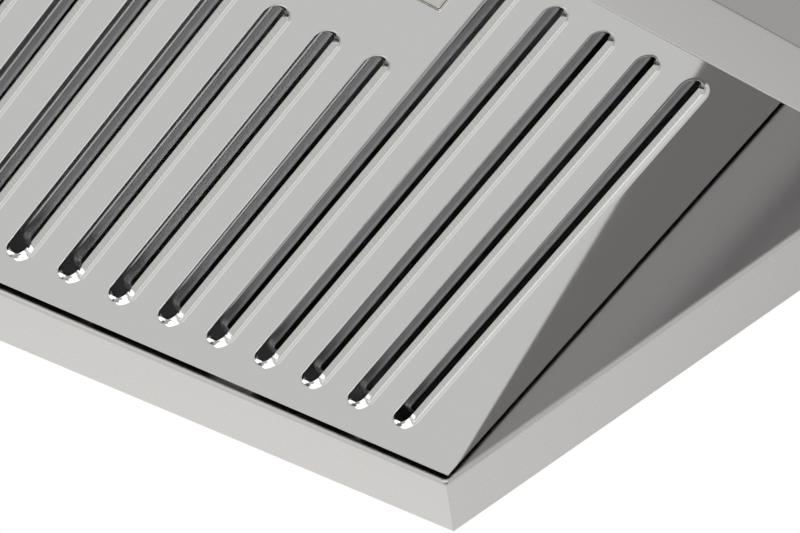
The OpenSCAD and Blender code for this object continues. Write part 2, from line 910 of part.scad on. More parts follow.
rear_wall();
front_wall();
left_wall();
right_wall();
top_plate();
lamp_panel();
lamp_left_trim();
lamp_left_lens();
lamp_left_body();
lamp_right_trim();
lamp_right_lens();
lamp_right_body();
button_trim();
control_board();
blower_box();
scroll_wrap();
scroll_left_side();
scroll_right_side();
motor();
motor_bracket();
impeller();
impeller_hub();
shaft();
duct_collar();
damper_rod();
damper_front();
damper_rear();
terminal_box();
terminal_cover();
cable_bushing();
shell_rivets();
filter_left_pan();
filter_left_back();
filter_left_spacers();
filter_left_guides();
filter_left_slider();
filter_left_grip();
filter_right_pan();
filter_right_back();
filter_right_spacers();
filter_right_guides();
filter_right_slider();
filter_right_grip();
button_1();
button_2();
button_3();
button_4();
button_5();
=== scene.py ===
import math

import bmesh
import bpy
import numpy as np
from mathutils import Matrix, Vector
from mathutils.geometry import delaunay_2d_cdt


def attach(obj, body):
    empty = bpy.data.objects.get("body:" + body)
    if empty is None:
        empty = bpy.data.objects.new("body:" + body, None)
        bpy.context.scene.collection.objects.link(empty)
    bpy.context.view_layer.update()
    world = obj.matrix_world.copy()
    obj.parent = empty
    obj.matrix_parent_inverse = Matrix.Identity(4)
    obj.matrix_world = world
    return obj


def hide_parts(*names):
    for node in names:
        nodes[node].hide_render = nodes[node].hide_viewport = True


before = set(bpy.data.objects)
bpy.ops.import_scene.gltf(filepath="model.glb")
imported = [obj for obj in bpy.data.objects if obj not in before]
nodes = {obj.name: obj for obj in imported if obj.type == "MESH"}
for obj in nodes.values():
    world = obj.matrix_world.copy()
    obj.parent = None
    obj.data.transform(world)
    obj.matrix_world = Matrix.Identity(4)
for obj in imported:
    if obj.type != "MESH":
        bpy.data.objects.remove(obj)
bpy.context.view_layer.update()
print("hood: packed model loaded")


# Helpers for node trees


def addNode(tree, kind, **values):
    node = tree.nodes.new(kind)
    for key, value in values.items():
        setattr(node, key, value)
    return node


def put(tree, value, socket):
    # A socket takes another node's output or a constant
    if isinstance(value, bpy.types.NodeSocket):
        tree.links.new(value, socket)
    else:
        socket.default_value = (*value, 1) if socket.type == "RGBA" else value


def combine(tree, operation, *values):
    node = addNode(tree, "ShaderNodeMath", operation=operation)
    for value, socket in zip(values, node.inputs):
        put(tree, value, socket)
    return node.outputs[0]


def rise(tree, value, low, high, start=0.0, end=1.0):
    # The start value below `low`, the end value above `high`, and a smooth step between them
    node = addNode(tree, "ShaderNodeMapRange", interpolation_type="SMOOTHSTEP")
    names = ("Value", "From Min", "From Max", "To Min", "To Max")
    for name, given in zip(names, (value, low, high, start, end)):
        put(tree, given, node.inputs[name])
    return node.outputs[0]


def mixed(tree, mask, first, second, kind="FLOAT"):
    # The first value where the mask is 0, the second where it is 1
    node = addNode(tree, "ShaderNodeMix", data_type=kind)
    sockets = (0, 6, 7) if kind == "RGBA" else (0, 2, 3)
    for value, i in zip((mask, first, second), sockets):
        put(tree, value, node.inputs[i])
    return node.outputs[2 if kind == "RGBA" else 0]


def tint(tree, mask, color, other):
    # The colour times the other one, as far as the mask says
    node = addNode(tree, "ShaderNodeMix", data_type="RGBA", blend_type="MULTIPLY")
    for value, i in zip((mask, color, other), (0, 6, 7)):
        put(tree, value, node.inputs[i])
    return node.outputs[2]


def mixShaders(tree, share, first, second):
    node = addNode(tree, "ShaderNodeMixShader")
    for value, socket in zip((share, first, second), node.inputs):
        put(tree, value, socket)
    return node.outputs[0]


def mirrorRay(tree):
    # 1 for the rays that metal and glass send on
    path = addNode(tree, "ShaderNodeLightPath")
    return combine(tree, "MAXIMUM", path.outputs["Is Glossy Ray"], path.outputs["Is Transmission Ray"])


def cameraRay(tree):
    return addNode(tree, "ShaderNodeLightPath").outputs["Is Camera Ray"]


def partsOfPlace(tree, kind="Object"):
    place = addNode(tree, "ShaderNodeTexCoord").outputs[kind]
    parts = addNode(tree, "ShaderNodeSeparateXYZ")
    tree.links.new(place, parts.inputs[0])
    return place, parts.outputs


def makeGroup(name, given, made):
    # An empty node group whose sockets are given as names with their kinds, and then its two inner ends
    group = bpy.data.node_groups.new(name, "ShaderNodeTree")
    for way, sockets in (("INPUT", given), ("OUTPUT", made)):
        for label, kind in sockets.items():
            group.interface.new_socket(name=label, in_out=way, socket_type="NodeSocket" + kind)
    return group, addNode(group, "NodeGroupInput").outputs, addNode(group, "NodeGroupOutput").inputs


def useGroup(tree, group, *values):
    node = addNode(tree, "ShaderNodeGroup", node_tree=group)
    for value, socket in zip(values, node.inputs):
        put(tree, value, socket)
    return node.outputs


def newMaterial(name):
    material = bpy.data.materials.new(name)
    material.use_nodes = True
    tree = material.node_tree
    return material, tree, tree.nodes["Principled BSDF"]


# Where the photograph was taken from, and the white studio round the hood

camera = {
    "place": (-0.5486, -0.9066, -0.9570),
    "right": (0.77011, -0.63629, -0.04560),
    "down": (0.35923, 0.49166, -0.79324),
    "forward": (0.52701, 0.59460, 0.60720),
    "lens": 163.66,
    "sensor": 36.0,
    "clip": (0.05, 50),
}
studio = {
    "floorHeight": -2.0,
    "floorHalf": 6.0,
    "floorTone": 0.82,
    "floorRough": 0.9,
    "floorGlow": 0.85,
    "worldDiffuse": 0.75,
    "low": 0.71, "lowBelow": -35,       # what metal sees straight below, up to this elevation in degrees
    "high": 0.53, "highAbove": 15,      # and above the horizon, from this one
}
# Soft boxes and dark flags that metal sees all round: azimuth and half width, elevation and half height,
# soft edge, all in degrees, and brightness. Azimuth 0 is +X and 90 is +Y
softBoxes = {
    "sideLow": (41, 9, -38, 9, 10, 0.62),
    "rearGlow": (52, 7, -33, 8, 7, 0.92),
    "rearHorizon": (60, 14, -4, 8, 6, 1.7),
    "rearDim": (108, 22, -22, 12, 14, 0.45),
    "rightHorizon": (25, 7, -2, 12, 5, 1.4),
    "leftLow": (160, 24, -62, 6, 8, 0.93),
    "leftMiddle": (162, 16, -36, 8, 8, 0.74),
    "leftHorizon": (160, 18, -10, 6, 6, 1.02),
    "frontBox": (-114, 36, -16, 30, 12, 1.8),
    "flagFront": (-36, 10, 4, 9, 5, 0.17),
    "upFront": (-48, 30, 38, 14, 12, 0.98),
}
# Lamps in front, two above the hood and one below, for the painted and plastic pieces: place, aim, size and
# power
lamps = {
    "keyLamp": ((-1.6, -2.2, 2.2), (0, 0, 0.1), 1.6, 60),
    "fillLamp": ((2.4, -1.2, 1.2), (0, 0, 0.1), 1.6, 25),
    "lowLamp": ((0.6, -1.4, -1.7), (0, 0, 0.05), 1.2, 25),
}


def addToScene(name, data, place, right, up, back):
    # An object whose own axes point right, up and back
    thing = bpy.data.objects.new(name, data)
    bpy.context.scene.collection.objects.link(thing)
    axes = Matrix((right, up, back)).transposed()
    thing.matrix_world = Matrix.Translation(place) @ axes.to_4x4()
    return thing


def setCamera():
    data = bpy.data.cameras.new("camera")
    data.lens = camera["lens"]
    data.sensor_width = camera["sensor"]
    data.clip_start, data.clip_end = camera["clip"]
    up, back = ([-c for c in camera[way]] for way in ("down", "forward"))
    bpy.context.scene.camera = addToScene("camera", data, camera["place"], camera["right"], up, back)


def makeBoxGroup():
    # A soft-edged box over the brightness below it. On each axis a mask falls smoothly from 1 at the half
    # width to 0 past the soft edge, and the result is below + (tone - below) * both masks
    names = ("Below", "Azimuth", "Elevation", "AzimuthAt", "AzimuthHalf", "ElevationAt", "ElevationHalf",
             "Soft", "Tone")
    group, given, made = makeGroup("softBox", dict.fromkeys(names, "Float"), {"Tone": "Float"})
    masks = []
    for axis in ("Azimuth", "Elevation"):
        away = combine(group, "SUBTRACT", given[axis], given[axis + "At"])
        size = combine(group, "ABSOLUTE", combine(group, "WRAP", away, 180, -180))
        past = combine(group, "SUBTRACT", size, given[axis + "Half"])
        masks.append(rise(group, past, 0.0, given["Soft"], 1.0, 0.0))
    change = combine(group, "SUBTRACT", given["Tone"], given["Below"])
    both = combine(group, "MULTIPLY", *masks)
    put(group, combine(group, "MULTIPLY_ADD", change, both, given["Below"]), made["Tone"])
    return group


def panorama(tree):
    # The brightness that metal sees in each direction
    group = makeBoxGroup()
    parts = partsOfPlace(tree, "Generated")[1]
    azimuth = combine(tree, "DEGREES", combine(tree, "ARCTAN2", parts["Y"], parts["X"]))
    elevation = combine(tree, "DEGREES", combine(tree, "ARCSINE", parts["Z"]))
    tone = rise(tree, elevation, studio["lowBelow"], studio["highAbove"], studio["low"], studio["high"])
    for values in softBoxes.values():
        tone = useGroup(tree, group, tone, azimuth, elevation, *values)[0]
    return tone


def setWorld():
    # The camera sees white, metal sees the soft boxes, and all else gets an even light
    world = bpy.data.worlds.new("studio")
    world.use_nodes = True
    bpy.context.scene.world = world
    tree = world.node_tree
    tree.nodes.clear()
    glows = []
    for strength in (studio["worldDiffuse"], panorama(tree), 1.0):
        glow = addNode(tree, "ShaderNodeBackground")
        put(tree, (1, 1, 1), glow.inputs["Color"])
        put(tree, strength, glow.inputs["Strength"])
        glows.append(glow.outputs[0])
    even, boxes, white = glows
    unseen = mixShaders(tree, mirrorRay(tree), even, boxes)
    out = addNode(tree, "ShaderNodeOutputWorld")
    tree.links.new(mixShaders(tree, cameraRay(tree), unseen, white), out.inputs["Surface"])


def flatQuad(name, half, height):
    # A level square
    mesh = bpy.data.meshes.new(name)
    corners = np.array([(-1, -1, 0), (1, -1, 0), (1, 1, 0), (-1, 1, 0)]) * half
    mesh.from_pydata(corners.tolist(), [], [(0, 1, 2, 3)])
    quad = bpy.data.objects.new(name, mesh)
    bpy.context.scene.collection.objects.link(quad)
    quad.location.z = height
    return quad


def setFloor():
    # White to the camera but for a share that takes shadow, clear to mirrors, pale to soft light
    floor = flatQuad("floor", studio["floorHalf"], studio["floorHeight"])
    material, tree, shader = newMaterial("floor")
    put(tree, (studio["floorTone"],) * 3, shader.inputs["Base Color"])
    put(tree, studio["floorRough"], shader.inputs["Roughness"])
    glow = addNode(tree, "ShaderNodeEmission")
    clear = addNode(tree, "ShaderNodeBsdfTransparent")
    seen = mixShaders(tree, studio["floorGlow"], shader.outputs[0], glow.outputs[0])
    unseen = mixShaders(tree, mirrorRay(tree), shader.outputs[0], clear.outputs[0])
    out = tree.nodes["Material Output"].inputs["Surface"]
    tree.links.new(mixShaders(tree, cameraRay(tree), unseen, seen), out)
    floor.data.materials.append(material)


def setLamps():
    for name, (place, aim, size, power) in lamps.items():
        data = bpy.data.lights.new(name, "AREA")
        data.size = size
        data.energy = power
        back = np.array(place) - np.array(aim)
        back /= np.linalg.norm(back)
        right = np.cross((0, 0, 1), back)
        right /= np.linalg.norm(right)
        lamp = addToScene(name, data, place, right, np.cross(back, right), back)
        lamp.visible_glossy = False


setCamera()
setWorld()
setFloor()
setLamps()
print("hood: camera, floor and lamps set")


# Finishes

filterShape = {
    # millimetres and degrees
    "width": 403.0, "length": 250.0, "height": 20.0, "sheet": 0.8, "fold": 1.0, "slope": 16.6,
    "left": -404.2, "right": 1.2,       # where each filter's left side is along X
    "rear": 144.256, "rise": 1.8,       # and the rear edge of both faces along Y and Z
    "foldSteps": 8, "leanSteps": 3,
    "hem": 1.5,         # how far the fold next to the shell's wall stands out
    "dull": 0.35,       # the width of the dull strip along the side folds
}
# Brush lines: the noise of each steel's own cells, its swing in roughness, and its relief in metres
brushing = {"scale": 1.0, "detail": 3.0, "grain": 0.65, "roughSwing": 0.04, "relief": 0.0002}
steels = {
    # name: tone, contrast, roughness, depth, noise cells per metre along X, Y and Z
    # The front and side rims are darker copies of the rear rim's steel: painted shade for how light falls on
    # each side
    "rimSteelX": ((0.73, 0.712, 0.694), 0.012, 0.27, 0.004, (12, 1200, 1200)),
    "rimSteelFrontShaded": ((0.605, 0.587, 0.572), 0.012, 0.27, 0.004, (12, 1200, 1200)),
    "rimSteelYShaded": ((0.62, 0.603, 0.588), 0.012, 0.27, 0.004, (1200, 12, 1200)),
    "filterSteel": ((0.715, 0.715, 0.70), 0.04, 0.08, 0.04, (14, 1300, 1300)),
    "latchSteel": ((0.72, 0.70, 0.665), 0.16, 0.25, 0.25, (1300, 14, 50)),
    "panelSteel": ((0.68, 0.675, 0.66), 0.08, 0.25, 0.10, (12, 1200, 1200)),
    # Near white: a painted highlight on the side of the rear plate that the slots show
    "backSteelPaintedBright": ((0.98, 0.98, 0.99), 0.05, 0.32, 0.0, (14, 1300, 1300)),
    "innerSteel": ((0.60, 0.60, 0.60), 0.05, 0.38, 0.0, (14, 1300, 1300)),
    "foldSteel": ((0.78, 0.78, 0.78), 0.05, 0.50, 0.05, (14, 1300, 1300)),
    "cutSteel": ((0.75, 0.75, 0.75), 0.10, 0.30, 0.1, (900, 900, 900)),
}
# The shell's walls, in metres. Within the walls, above the fold, the sheet is smoother and darker: the darker
# tone is painted shade, and where other metal mirrors them it takes a darker tone still, painted shade in
# their reflection. The fold is duller. The rim's cut edges and the walls' outsides have tones of their own
shellWall = {
    "halfX": 0.4071, "halfY": 0.1477, "soft": 0.0003, "from": 0.0018, "to": 0.0030,
    "tone": (0.568, 0.556, 0.582), "reflectedShade": (0.37, 0.36, 0.372), "rough": 0.28,
    "foldFrom": 0.0001, "foldTo": 0.0008, "foldRough": 0.36,
    "edgeX": 0.4363, "edgeY": 0.1769, "edgeTone": (0.46, 0.46, 0.46),
    "outerFrom": 0.002, "outerTo": 0.006, "outer": (0.55, 0.55, 0.56),
}
# Fine lines that the press leaves across the lips, from this height above the plate's face, in metres
pressMarks = {
    "from": 0.0004, "to": 0.0014, "contrast": 0.5, "level": 1.14, "cells": 2000, "slant": 0.12, "detail": 2,
}
# The rear plate's lips are bright along their edges, a painted highlight, and darker above, a painted shade
rearLipPaintedLight = {"from": 0.0161, "to": 0.0169, "above": (0.66, 0.66, 0.66)}
# Zinc spangle: cells per metre, two tones and two roughnesses
zinc = {"cells": 110, "low": (0.30, 0.31, 0.32), "high": (0.44, 0.45, 0.46), "smooth": 0.32, "rough": 0.5}
paints = {
    # name: two close tones, noise cells per metre, roughness, relief, metallic
    "darkPaint": ((0.05, 0.052, 0.056), (0.08, 0.082, 0.086), 700, 0.45, 0.2, 0.0),
    "board": ((0.03, 0.12, 0.06), (0.045, 0.16, 0.08), 500, 0.35, 0.1, 0.0),
    "lens": ((0.85, 0.86, 0.84), (0.93, 0.94, 0.92), 900, 0.3, 0.3, 0.0),
    "rubber": ((0.018, 0.018, 0.018), (0.03, 0.03, 0.03), 900, 0.6, 0.2, 0.0),
    "buttonBlack": ((0.02, 0.021, 0.023), (0.035, 0.036, 0.038), 900, 0.25, 0.1, 0.0),
    "bright": ((0.62, 0.62, 0.62), (0.7, 0.7, 0.7), 600, 0.15, 0.05, 1.0),
}
# The orange peel of paints and plastics, its relief in metres
peel = {"detail": 4, "relief": 0.0003}


def makeBrushGroup():
    # Fine brush lines: noise stretched along one axis. With h its height from -0.5 to 0.5 the colour is
    # tone * (1 + contrast * h), the roughness rises by the swing times h, and the relief is the noise itself
    group, given, made = makeGroup(
        "brushLines",
        {"Tone": "Color", "Contrast": "Float", "Roughness": "Float", "Depth": "Float", "Stretch": "Vector"},
        {"Color": "Color", "Roughness": "Float", "Normal": "Vector"})
    stretch = addNode(group, "ShaderNodeVectorMath", operation="MULTIPLY")
    put(group, addNode(group, "ShaderNodeTexCoord").outputs["Object"], stretch.inputs[0])
    put(group, given["Stretch"], stretch.inputs[1])
    noise = addNode(group, "ShaderNodeTexNoise")
    put(group, stretch.outputs[0], noise.inputs["Vector"])
    put(group, brushing["scale"], noise.inputs["Scale"])
    put(group, brushing["detail"], noise.inputs["Detail"])
    put(group, brushing["grain"], noise.inputs["Roughness"])
    height = combine(group, "SUBTRACT", noise.outputs["Fac"], 0.5)
    shade = addNode(group, "ShaderNodeVectorMath", operation="SCALE")
    put(group, given["Tone"], shade.inputs[0])
    put(group, combine(group, "MULTIPLY_ADD", height, given["Contrast"], 1.0), shade.inputs["Scale"])
    rough = combine(group, "MULTIPLY_ADD", height, brushing["roughSwing"], given["Roughness"])
    bump = addNode(group, "ShaderNodeBump")
    put(group, brushing["relief"], bump.inputs["Distance"])
    put(group, given["Depth"], bump.inputs["Strength"])
    put(group, noise.outputs["Fac"], bump.inputs["Height"])
    for result, socket in zip((shade.outputs[0], rough, bump.outputs["Normal"]), made):
        put(group, result, socket)
    return group


def makeWallGroup():
    # The shell's sheet by place. Masks rise within the four walls, above the fold, along it, on the rim's cut
    # edges and outside the walls, and each takes its own tone or roughness. The darker tone within the walls
    # above the fold is painted shade
    wall = shellWall
    group, given, made = makeGroup("shellWall", {"Color": "Color", "Roughness": "Float", "Inside": "Color"},
                                   {"Color": "Color", "Roughness": "Float"})
    x, y, z = partsOfPlace(group)[1]
    across = [combine(group, "ABSOLUTE", side) for side in (x, y)]
    inside = [rise(group, combine(group, "SUBTRACT", wall[half], side), -wall["soft"], wall["soft"])
              for half, side in zip(("halfX", "halfY"), across)]
    within = combine(group, "MULTIPLY", *inside)
    high = combine(group, "MULTIPLY", within, rise(group, z, wall["from"], wall["to"]))
    fold = rise(group, z, wall["foldFrom"], wall["foldTo"])
    dull = mixed(group, fold, given["Roughness"], wall["foldRough"])
    edges = [rise(group, side, wall[edge], wall[edge] + wall["soft"])
             for edge, side in zip(("edgeX", "edgeY"), across)]
    color = tint(group, combine(group, "MAXIMUM", *edges), given["Color"], wall["edgeTone"])
    outer = combine(group, "SUBTRACT", rise(group, z, wall["outerFrom"], wall["outerTo"]), within)
    color = tint(group, combine(group, "MAXIMUM", outer, 0.0), color, wall["outer"])
    # Within the walls above the fold the colour is darkened: painted shade
    put(group, tint(group, high, color, given["Inside"]), made["Color"])
    put(group, mixed(group, high, dull, wall["rough"]), made["Roughness"])
    return group


def makeFaceGroup():
    # A mask that rises from `Low` to `High` above the filters' face. That height is the place along the
    # face's normal, less the same for a point of the face
    group, given, made = makeGroup("aboveFace", {"Low": "Float", "High": "Float"}, {"Mask": "Float"})
    turn = math.radians(filterShape["slope"])
    normal = (0, math.sin(turn), math.cos(turn))
    base = (filterShape["rear"] * normal[1] + filterShape["rise"] * normal[2]) / 1000
    along = addNode(group, "ShaderNodeVectorMath", operation="DOT_PRODUCT")
    put(group, addNode(group, "ShaderNodeTexCoord").outputs["Object"], along.inputs[0])
    put(group, normal, along.inputs[1])
    height = combine(group, "SUBTRACT", along.outputs["Value"], base)
    put(group, rise(group, height, given["Low"], given["High"]), made["Mask"])
    return group


brushGroup = makeBrushGroup()
wallGroup = makeWallGroup()
faceGroup = makeFaceGroup()


def addPressMarks(tree, color):
    # Noise of the place along the slots, a little slanted: level + contrast * (noise - 0.5)
    marks = pressMarks
    x, y = partsOfPlace(tree)[1][:2]
    mask = useGroup(tree, faceGroup, marks["from"], marks["to"])[0]
    lines = addNode(tree, "ShaderNodeTexNoise", noise_dimensions="1D")
    put(tree, marks["cells"], lines.inputs["Scale"])
    put(tree, marks["detail"], lines.inputs["Detail"])
    put(tree, combine(tree, "MULTIPLY_ADD", x, marks["slant"], y), lines.inputs["W"])
    lowest = marks["level"] - marks["contrast"] / 2
    level = combine(tree, "MULTIPLY_ADD", lines.outputs["Fac"], marks["contrast"], lowest)
    shade = addNode(tree, "ShaderNodeCombineColor")
    for socket in shade.inputs[:3]:
        put(tree, level, socket)
    return tint(tree, mask, color, shade.outputs[0])


def makeSteel(name):
    material, tree, shader = newMaterial(name)
    put(tree, 1.0, shader.inputs["Metallic"])
    color, rough, normal = useGroup(tree, brushGroup, *steels[name])
    if name.startswith("rim"):
        # Painted shade within the walls: a darker tone for the camera, a darker one still where metal mirrors
        # them
        inside = mixed(tree, cameraRay(tree), shellWall["reflectedShade"], shellWall["tone"], "RGBA")
        color, rough = useGroup(tree, wallGroup, color, rough, inside)
    if name == "filterSteel":
        color = addPressMarks(tree, color)
    if name == "backSteelPaintedBright":
        # Painted highlight along the rear plate's lip edges and painted shade above them
        mask = useGroup(tree, faceGroup, rearLipPaintedLight["from"], rearLipPaintedLight["to"])[0]
        color = tint(tree, mask, color, rearLipPaintedLight["above"])
    put(tree, color, shader.inputs["Base Color"])
    put(tree, rough, shader.inputs["Roughness"])
    put(tree, normal, shader.inputs["Normal"])
    return material


def twoTones(tree, value, low, high):
    ramp = addNode(tree, "ShaderNodeValToRGB")
    for element, tone in zip(ramp.color_ramp.elements, (low, high)):
        element.color = (*tone, 1)
    tree.links.new(value, ramp.inputs[0])
    return ramp.outputs[0]


def makeGalvanised():
    # Zinc spangle: Voronoi cells with their own tone and roughness
    material, tree, shader = newMaterial("galvanised")
    put(tree, 1.0, shader.inputs["Metallic"])
    cells = addNode(tree, "ShaderNodeTexVoronoi")
    put(tree, addNode(tree, "ShaderNodeTexCoord").outputs["Object"], cells.inputs["Vector"])
    put(tree, zinc["cells"], cells.inputs["Scale"])
    split = addNode(tree, "ShaderNodeSeparateColor")
    put(tree, cells.outputs["Color"], split.inputs[0])
    put(tree, twoTones(tree, split.outputs[0], zinc["low"], zinc["high"]), shader.inputs["Base Color"])
    rough = addNode(tree, "ShaderNodeMapRange")
    put(tree, split.outputs[1], rough.inputs["Value"])
    put(tree, zinc["smooth"], rough.inputs["To Min"])
    put(tree, zinc["rough"], rough.inputs["To Max"])
    put(tree, rough.outputs[0], shader.inputs["Roughness"])
    return material


def makeSpeckled(name, low, high, cells, roughness, bump, metallic):
    # A paint, rubber or plastic: two close tones in fine noise over a slight orange peel
    material, tree, shader = newMaterial(name)
    put(tree, metallic, shader.inputs["Metallic"])
    put(tree, roughness, shader.inputs["Roughness"])
    noise = addNode(tree, "ShaderNodeTexNoise")
    put(tree, addNode(tree, "ShaderNodeTexCoord").outputs["Object"], noise.inputs["Vector"])
    put(tree, cells, noise.inputs["Scale"])
    put(tree, peel["detail"], noise.inputs["Detail"])
    put(tree, twoTones(tree, noise.outputs["Fac"], low, high), shader.inputs["Base Color"])
    relief = addNode(tree, "ShaderNodeBump")
    put(tree, noise.outputs["Fac"], relief.inputs["Height"])
    put(tree, bump, relief.inputs["Strength"])
    put(tree, peel["relief"], relief.inputs["Distance"])
    put(tree, relief.outputs["Normal"], shader.inputs["Normal"])
    return material


finish = {name: makeSteel(name) for name in steels}
finish["galvanised"] = makeGalvanised()
finish.update((name, makeSpeckled(name, *values)) for name, values in paints.items())

nodeFinish = {
    # The front and side walls take the darker rim steels, whose lower tones are painted shade
    "rear_wall": "rimSteelX", "front_wall": "rimSteelFrontShaded", "left_wall": "rimSteelYShaded",
    "right_wall": "rimSteelYShaded", "lamp_panel": "panelSteel", "top_plate": "galvanised",
    "shell_rivets": "bright",
    "lamp_left_trim": "bright", "lamp_left_lens": "lens", "lamp_left_body": "darkPaint",
    "lamp_right_trim": "bright", "lamp_right_lens": "lens", "lamp_right_body": "darkPaint",
    "button_trim": "bright", "control_board": "board", "motor": "darkPaint", "shaft": "bright",
    "damper_rod": "bright", "cable_bushing": "rubber",
}
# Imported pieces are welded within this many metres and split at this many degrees
packedEdge = {"weld": 0.00001, "split": 30}


def finishOf(name):
    if name in nodeFinish:
        return finish[nodeFinish[name]]
    if name.startswith("button_"):
        return finish["buttonBlack"]
    if name.endswith(("_slider", "_grip")):
        return finish["latchSteel"]
    if name.endswith("_back"):
        return finish["backSteelPaintedBright"]
    if name.startswith("filter_"):
        return finish["filterSteel"]
    return finish["galvanised"]


def addModifier(thing, name, kind, **values):
    step = thing.modifiers.new(name, kind)
    for key, value in values.items():
        setattr(step, key, value)


def smoothBends(thing, degrees):
    # Split at sharp edges and weighted by face area, so that flats stay flat and bends read as round
    addModifier(thing, "split", "EDGE_SPLIT", split_angle=math.radians(degrees))
    addModifier(thing, "weighted", "WEIGHTED_NORMAL", mode="FACE_AREA", keep_sharp=True)


for name, thing in nodes.items():
    thing.data.materials.clear()
    thing.data.materials.append(finishOf(name))
    thing.data.shade_smooth()
    addModifier(thing, "weld", "WELD", merge_threshold=packedEdge["weld"])
    smoothBends(thing, packedEdge["split"])
print("hood: materials on the packed pieces")


# Filters: each has a front plate folded up into a tray and a flat rear plate, both with pressed slots

# Millimetres and degrees. Slots and window are measured forward from the filter's rear edge, the tongue's
# slot and the drain holes up from its face, and the tabs in the part's own frame
slotShape = {
    "count": 13, "pitch": 27.0, "first": 39.5, "low": 20.0, "high": 230.0,
    "short": (5, 6, 7), "cutShort": 58.3,       # the slots below the latch
    # the lip: half the slot's width with its bend, the bend's radius and angle, and the depth
    "half": 8.3, "bend": 2.9, "turn": 60.0, "depth": 4.25, "bendSteps": 14,
    # the lip at the slot's two round ends: its depth, how far its edge moves out, and how late both set in
    "endDepth": 2.8, "endShift": 0.4, "endPower": 1.5, "roundSteps": 20,
}
windowShape = {
    "width": 67.0, "front": 239.0, "back": 209.0, "corner": 0.9, "cornerSteps": 5,
    "bend": 0.8, "turn": 90, "depth": 1.4, "bendSteps": 8,
}
tongueSlot = {"width": 40.6, "low": 1.4, "high": 3.5}
drainHoles = {"shares": (0.12, 0.5, 0.88), "radius": 2.5, "height": 6.667, "steps": 24}
tabShape = {"shares": (0.3, 0.7), "width": 22.0, "low": 6.4, "thick": 1.0, "reach": 154.206, "start": 142.2}
# Small rounds on the cut edges that turn by more than the angle, and the angle at which shading is split
cutEdge = {"round": 0.12, "steps": 2, "angle": 50, "split": 42}
# The rear plate stops short of the rear edge, has its slots shifted by a share of the pitch, and is rounder
rearPlate = {"rear": 6.76, "shift": -0.5, "round": 0.25, "steps": 3}
# Points nearer than this are one: in millimetres while a sheet is laid out, in metres in a mesh
tiny = {"sheet": 1e-6, "mesh": 0.000002}


def rectangle(left, low, right, high):
    return np.array([(left, low), (right, low), (right, high), (left, high)])


def ring(centre, halves, steps):
    # Path round a rectangle of arc centres: for each point the centre it belongs to and the way out from it.
    # The angle runs once round, in quarters that start and end on the same side of the rectangle
    angle = np.linspace(0, np.pi / 2, steps + 1)
    quarters = np.arange(4)[:, None]
    turn = (angle + quarters * np.pi / 2).ravel()
    signs = np.array([(1, 1), (-1, 1), (-1, -1), (1, -1)])
    base = np.array(centre) + np.repeat(signs * np.array(halves), steps + 1, axis=0)
    out = np.stack((np.cos(turn), np.sin(turn)), axis=1)
    at = base + out
    fresh = np.linalg.norm(at - np.roll(at, 1, axis=0), axis=1) > tiny["sheet"]
    return base[fresh], out[fresh]


def lipProfile(shape, half):
    # Distance out from the arc centre, and height. The bend starts level: out by half - r sin(a), up by
    # r - r cos(a). A straight wall in two rows of faces then goes on at the last angle up to the depth
    bend = shape["bend"]
    angle = np.radians(shape["turn"]) * np.linspace(0, 1, shape["bendSteps"] + 1)
    away = half - bend * np.sin(angle)
    height = bend * (1 - np.cos(angle))
    wall = (shape["depth"] - height[-1]) / np.sin(angle[-1])
    run = np.array([0.5, 1.0]) * wall
    away = np.concatenate((away, away[-1] - run * np.cos(angle[-1])))
    return away, np.concatenate((height, height[-1] + run * np.sin(angle[-1])))


def bandFaces(rows, columns):
    # Four corners of each cell between closed rows of points, row by row
    row, column = np.meshgrid(np.arange(rows - 1), np.arange(columns), indexing="ij")
    after = (column + 1) % columns
    cells = (row * columns + column, row * columns + after,
             (row + 1) * columns + after, (row + 1) * columns + column)
    return np.stack(cells, axis=-1).reshape(-1, 4)


def lipSurface(path, away, height, endDepth=None, endShift=0.0):
    # Point = arc centre + way out times the profile's distance, at the profile's height. Round the ends the
    # height falls to its share of the end depth and the arc centre moves out along Y, both by a power of the
    # way's own Y
    base, out = path
    steep = np.abs(out[:, 1]) ** slotShape["endPower"]
    flat = base + out * away[:, None, None]
    flat[..., 1] += np.outer(height / height[-1], np.sign(out[:, 1]) * steep) * endShift
    fall = np.ones(len(base)) if endDepth is None else 1 - steep * (1 - endDepth / height[-1])
    points = np.dstack((flat, np.outer(height, fall))).reshape(-1, 3)
    return points, bandFaces(len(away), len(base))[:, ::-1]


def sheetWithHoles(outline, holes):
    # Flat triangles between an outline and its holes, both given as closed rows of points
    loops = [outline] + [hole[::-1] for hole in holes]
    ends = np.cumsum([len(loop) for loop in loops])
    faces = [list(range(end - len(loop), end)) for end, loop in zip(ends, loops)]
    points = [Vector(point) for point in np.concatenate(loops).tolist()]
    # Kind 2 keeps the triangles inside the outline and leaves the holes out
    made = delaunay_2d_cdt(points, [], faces, 2, tiny["sheet"])
    return np.array([tuple(point) for point in made[0]]), np.array([tuple(face) for face in made[2]])


def lifted(flat, origin, across, up):
    # Flat points carried to space: origin + x times one direction + y times the other
    return np.array(origin) + flat[:, :1] * np.array(across) + flat[:, 1:] * np.array(up)


def onFilter(points, side):
    # A turn about X by the slope, then the filter's own place, and millimetres to metres
    x, y, z = points.T
    turn = math.radians(filterShape["slope"])
    across = x + filterShape[side]
    along = y * math.cos(turn) + z * math.sin(turn) + filterShape["rear"]
    high = z * math.cos(turn) - y * math.sin(turn) + filterShape["rise"]
    return np.stack((across, along, high), axis=1) / 1000


